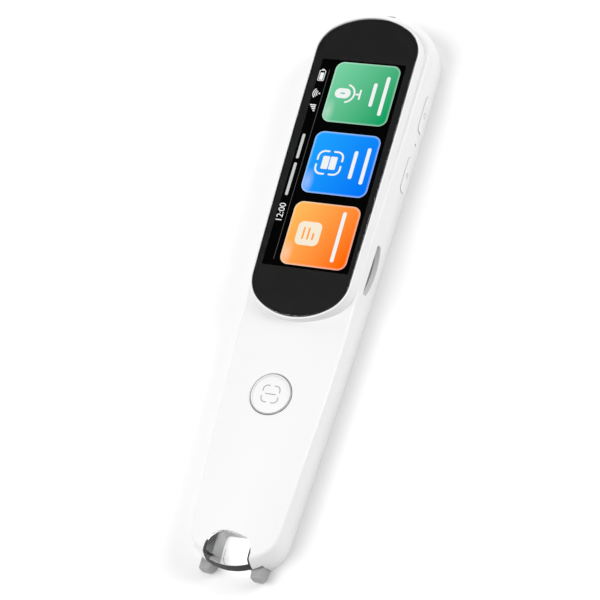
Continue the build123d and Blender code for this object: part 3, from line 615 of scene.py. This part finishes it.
# Plain bars where the words of the tiles would stand: x, distance along the display, and length
TILE_BAR_WIDTH = 1.0
TILE_BAR_CORNER = 0.48
tile_bars = ((4.9, 20.5, 6.9), (7.9, 20.4, 11.4), (4.95, 0.1, 8.0), (8.2, 0.1, 10.4), (6.5, -20.15, 14.0))
for index, (x, along, length) in enumerate(tile_bars):
    bar = rounded(0, 0, TILE_BAR_WIDTH, length, TILE_BAR_CORNER)
    screen_piece(f"tile_bar_{index}", [bar], SIGN_LEVEL, screen_white, (x, display_y + along))

# Status strip: a clock, two plain bars, signal bars, waves and a battery
STRIP_X = -10.55
STRIP_LINE_X = -8.85
STRIP_LINE_ALONG = -0.7
screen_piece("strip_line", [rounded(0, 0, 0.1, 55.0, 0.04)], TILE_LEVEL, screen_dim,
             (STRIP_LINE_X, display_y + STRIP_LINE_ALONG))

CLOCK_HEIGHT = 1.75
CLOCK_ALONG = -15.2
clock = digits("strip_clock", "12:00", CLOCK_HEIGHT, LAYER / 4)
clock.transform(Matrix.Rotation(pi / 2, 4, "Z"))
clock_place = (STRIP_X * MM, (display_y + CLOCK_ALONG) * MM, (glass_z + SIGN_LEVEL * LAYER) * MM)
add_piece("strip_clock", clock, clock_place, screen_white, "body")

# Distance along the display and length of each bar
STRIP_BAR_WIDTH = 0.8
STRIP_BAR_CORNER = 0.38
for index, (along, length) in enumerate(((-5.6, 9.4), (3.9, 7.2))):
    bar = rounded(0, 0, STRIP_BAR_WIDTH, length, STRIP_BAR_CORNER)
    screen_piece(f"strip_bar_{index}", [bar], SIGN_LEVEL, screen_soft, (STRIP_X, display_y + along))

# Four signal bars, each higher than the one before
SIGNAL_WIDTH = 0.34
SIGNAL_STEP = 0.55
SIGNAL_LEFT = -0.82
SIGNAL_FOOT = -0.85
signal = []
for index, height in enumerate((0.5, 0.9, 1.3, 1.7)):
    x = index * SIGNAL_STEP + SIGNAL_LEFT
    signal.append(rounded(x, height / 2 + SIGNAL_FOOT, SIGNAL_WIDTH, height, 0.08, steps=4))
sign("strip_signal", signal, (STRIP_X, 15.2), screen_white)

# A dot and three arcs over it
WAVES_FOOT = -0.8
WAVE_LINE = 0.24
waves = [circle(0, WAVES_FOOT, 0.22)]
for radius in (0.75, 1.25, 1.75):
    waves.append(stroke(arc(0, WAVES_FOOT, radius, 45, 135, steps=16), WAVE_LINE))
sign("strip_waves", waves, (STRIP_X, 19.5), screen_white)

# The battery's frame and the hole in it, its charge and its tip
battery = [rounded(0, 0, 3.2, 1.75, 0.3), rounded(0, 0, 2.85, 1.4, 0.2),
           rounded(-0.2, 0, 2.15, 1.0, 0.1), rounded(1.82, 0, 0.25, 0.8, 0.1)]
sign("strip_battery", battery, (STRIP_X, 24.8), screen_white)


# Marks on the buttons, painted shade round the thumb button and the aim line, laid on the surfaces

MARK_THICKNESS = 0.012
# How far off a surface the rays to it start, in metres
RAY_START = 0.05


def lay_on(mesh, node, towards):
    """Drops every point of a flat mesh onto the surface of a CAD piece, keeping its small height."""
    carrier = nodes[node]
    away = -Vector(towards)
    for vertex in mesh.vertices:
        height = vertex.co.dot(away)
        start = vertex.co - away * height + away * RAY_START
        hit, spot, _, _ = carrier.ray_cast(start, Vector(towards))
        if hit:
            vertex.co = spot + away * (height + MARK_THICKNESS / 2 * MM)


def cut_fine(mesh, size):
    """Splits the edges of a mesh that are longer than size, so that it can follow a curved surface."""
    rounds = 3
    work = bmesh.new()
    work.from_mesh(mesh)
    bmesh.ops.triangulate(work, faces=work.faces)
    for _ in range(rounds):
        long_edges = [edge for edge in work.edges if edge.calc_length() > size * MM]
        if long_edges:
            bmesh.ops.subdivide_edges(work, edges=long_edges, cuts=1)
            bmesh.ops.triangulate(work, faces=work.faces)
    work.to_mesh(mesh)
    work.free()


print_and_shade_grey = moulded("print_and_shade_grey", (0.30, 0.30, 0.30), rough=0.5)

# Turns a flat mark so that its x runs along +Y and its y along +Z, and it faces +X
UPRIGHT = Matrix(((0, 0, 1, 0), (1, 0, 0, 0), (0, 1, 0, 0), (0, 0, 0, 1)))


def side_mark(name, node, body, loops):
    """A mark on the side wall, drawn with its top towards the screen."""
    low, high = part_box(node)
    mesh = filled(name, loops, MARK_THICKNESS)
    cut_fine(mesh, size=0.5)
    mesh.transform(Matrix.Translation((0, (low.y + high.y) / 2, (low.z + high.z) / 2)) @ UPRIGHT)
    lay_on(mesh, node, (-1, 0, 0))
    add_piece(name, mesh, (0, 0, 0), print_and_shade_grey, body)


SIDE_MARK_LINE = 0.16
power_mark = [stroke(arc(0, 0, 0.72, 130, 410), SIDE_MARK_LINE),
              stroke([(0, 0.15), (0, 0.95)], SIDE_MARK_LINE)]
function_mark = ring(0, 0, 0.62, SIDE_MARK_LINE) + [circle(0, 0, 0.2)]
side_mark("mark_power", "power_button", "power_key", power_mark)
side_mark("mark_function", "function_button", "function_key", function_mark)

HOME_MARK_LINE = 0.24
home_low, home_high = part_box("home_button")
home_y = (home_low.y + home_high.y) / 2
home_mark = bracket_corners(width=4.4, height=4.4, radius=1.1, gap=1.3, line=HOME_MARK_LINE)
home_mark += [stroke([(-1.3, 0), (1.3, 0)], HOME_MARK_LINE)]
home_mesh = filled("mark_home", home_mark, MARK_THICKNESS)
cut_fine(home_mesh, size=0.6)
home_mesh.transform(Matrix.Translation((0, home_y, 0)))
lay_on(home_mesh, "home_button", (0, 0, -1))
add_piece("mark_home", home_mesh, (0, 0, 0), print_and_shade_grey, "home_key")

# Painted shade: a dark ring fills the gap round the thumb button, a little below the surface of the shell,
# standing for the shade in the groove
HOME_HOLE_RADIUS = 5.5
HOME_GAP = 0.18
GAP_SHADE_CLEARANCE = 0.02
GAP_SHADE_DEPTH = 0.05
ROUND_PARTS = 96
gap_shade_loops = ring(0, 0, HOME_HOLE_RADIUS - HOME_GAP / 2, HOME_GAP - GAP_SHADE_CLEARANCE, ROUND_PARTS)
gap_shade_mesh = filled("home_gap_shade", gap_shade_loops, MARK_THICKNESS)
for vertex in gap_shade_mesh.vertices:
    outwards = Vector((vertex.co.x, vertex.co.y, 0)).normalized()
    beside = outwards * (HOME_HOLE_RADIUS + HOME_GAP) * MM + Vector((0, home_y, home_high.z + MM))
    _, spot, _, _ = nodes["front_shell"].ray_cast(beside, (0, 0, -1))
    vertex.co += Vector((0, home_y, spot.z - GAP_SHADE_DEPTH * MM))
add_piece("home_gap_shade", gap_shade_mesh, (0, 0, 0), soft_rubber, "body")

# Painted shade: a grey line on the rim of the thumb button, lifted clear of its surface, standing for the
# shade at the edge of the groove
RIM_SHADE_INSET = 0.15
RIM_SHADE_WIDTH = 0.2
RIM_SHADE_LIFT = 0.015
rim_shade_loops = ring(0, 0, HOME_HOLE_RADIUS - HOME_GAP - RIM_SHADE_INSET, RIM_SHADE_WIDTH, ROUND_PARTS)
rim_shade_mesh = filled("home_rim_shade", rim_shade_loops, MARK_THICKNESS)
rim_shade_mesh.transform(Matrix.Translation((0, home_y, 0)))
lay_on(rim_shade_mesh, "home_button", (0, 0, -1))
add_piece("home_rim_shade", rim_shade_mesh, (0, 0, RIM_SHADE_LIFT * MM), print_and_shade_grey, "home_key")

AIM_LINE_WIDTH = 0.14
AIM_LINE_LENGTH = 3.2
AIM_LINE_FROM_TIP = 2.2
aim_y = window_low.y / MM + AIM_LINE_FROM_TIP
aim_loop = rounded(0, aim_y, AIM_LINE_WIDTH, AIM_LINE_LENGTH, 0.05, steps=3)
aim_mesh = filled("aim_line", [aim_loop], MARK_THICKNESS)
cut_fine(aim_mesh, size=0.4)
lay_on(aim_mesh, "nose_window", (0, 0, -1))
add_piece("aim_line", aim_mesh, (0, 0, 0), print_and_shade_grey, "body")


# Floor, light and camera. Places and sizes are in metres.

FLOOR_REACH = 6.0
FLOOR_Z = -0.2 * MM
# The size of the floor's faint patches in millimetres
FLOOR_PATCH = 300
corners = [(x * FLOOR_REACH, y * FLOOR_REACH, FLOOR_Z) for x, y in ((-1, -1), (1, -1), (1, 1), (-1, 1))]
floor_mesh = bpy.data.meshes.new("floor")
floor_mesh.from_pydata(corners, [], [(0, 1, 2, 3)])
floor = bpy.data.objects.new("floor", floor_mesh)
floor_material, floor_tree, floor_shader, floor_place = start_material("floor")
floor_noise = noise(floor_tree, floor_place, FLOOR_PATCH, detail=2)
floor_tone = blend(floor_tree, floor_noise, (0.90, 0.90, 0.90), (0.92, 0.92, 0.92))
shade(floor_tree, floor_shader, Base_Color=floor_tone, Roughness=0.9)
floor_mesh.materials.append(floor_material)
scene.collection.objects.link(floor)


def soft_box(name, location, size, power):
    """A square area light that faces the pen."""
    light = bpy.data.lights.new(name, "AREA")
    light.shape = "SQUARE"
    light.size = size
    light.energy = power
    lamp = bpy.data.objects.new(name, light)
    lamp.location = location
    lamp.rotation_mode = "QUATERNION"
    lamp.rotation_quaternion = Vector(location).to_track_quat("Z", "Y")
    scene.collection.objects.link(lamp)


soft_box("key_light", (-0.40, -0.32, 0.88), size=0.6, power=5.9)
soft_box("side_light", (0.75, 0.35, 0.60), size=0.5, power=4.5)
soft_box("top_light", (-0.45, 0.95, 0.55), size=0.6, power=2.5)

# The pen's own scanning light, in front of its lens
SCAN_LIGHT_GAP = 0.8 * MM
SCAN_LIGHT_Z = 5.5 * MM
bezel_low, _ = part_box("camera_bezel")
scan_light = bpy.data.lights.new("scan_light", "AREA")
scan_light.shape = "RECTANGLE"
scan_light.size = 9 * MM
scan_light.size_y = 1.2 * MM
scan_light.energy = 0.0004
scan_light.spread = radians(110)
scan_lamp = bpy.data.objects.new("scan_light", scan_light)
scan_lamp.location = (0, bezel_low.y - SCAN_LIGHT_GAP, SCAN_LIGHT_Z)
scan_lamp.rotation_euler = (radians(-25), 0, 0)
scan_lamp.visible_camera = False
scene.collection.objects.link(scan_lamp)

# Soft white surroundings, darker where the cover glass mirrors them to the camera, and beyond the nose
SURROUND_TONE = 0.64
MIRRORED = Vector((-0.375, 0.341, 0.862))
BEYOND_NOSE = Vector((0.60, -0.75, 0.20))
world = bpy.data.worlds.new("studio")
world.use_nodes = True
scene.world = world
sky = world.node_tree
heading = add_node(sky, "ShaderNodeTexCoord").outputs["Generated"]


def dimmed(tone, towards, start, end, least):
    """The tone of the surroundings, dimmed around one direction.

    start and end are the cosines of the angles from it at which the dimming starts and is full, and
    least is the share of the tone that is left there.
    """
    facing = measure(sky, "DOT_PRODUCT", heading, towards.normalized())
    return compute(sky, "MULTIPLY", tone, spread(sky, facing, start, end, 1, least))


tone = dimmed(SURROUND_TONE, MIRRORED, start=0.80, end=0.97, least=0.03)
tone = dimmed(tone, BEYOND_NOSE, start=0.3, end=0.9, least=0.33)
shade(sky, sky.nodes["Background"], Strength=tone, Color=(1.0, 1.0, 1.0))

scene.view_settings.view_transform = "Standard"

# The camera, fitted to the outlines of the glass and the thumb button in the photo. Its angles are in
# degrees.
CAMERA_LENS = 122.35
CAMERA_PLACE = (0.19015, -0.17954, 0.44711)
CAMERA_TURN = (25.5177, 17.2007, 15.9034)
camera_data = bpy.data.cameras.new("camera")
camera_data.lens = CAMERA_LENS
camera = bpy.data.objects.new("camera", camera_data)
camera.location = CAMERA_PLACE
camera.rotation_euler = [radians(angle) for angle in CAMERA_TURN]
scene.collection.objects.link(camera)
scene.camera = camera

bpy.context.view_layer.update()
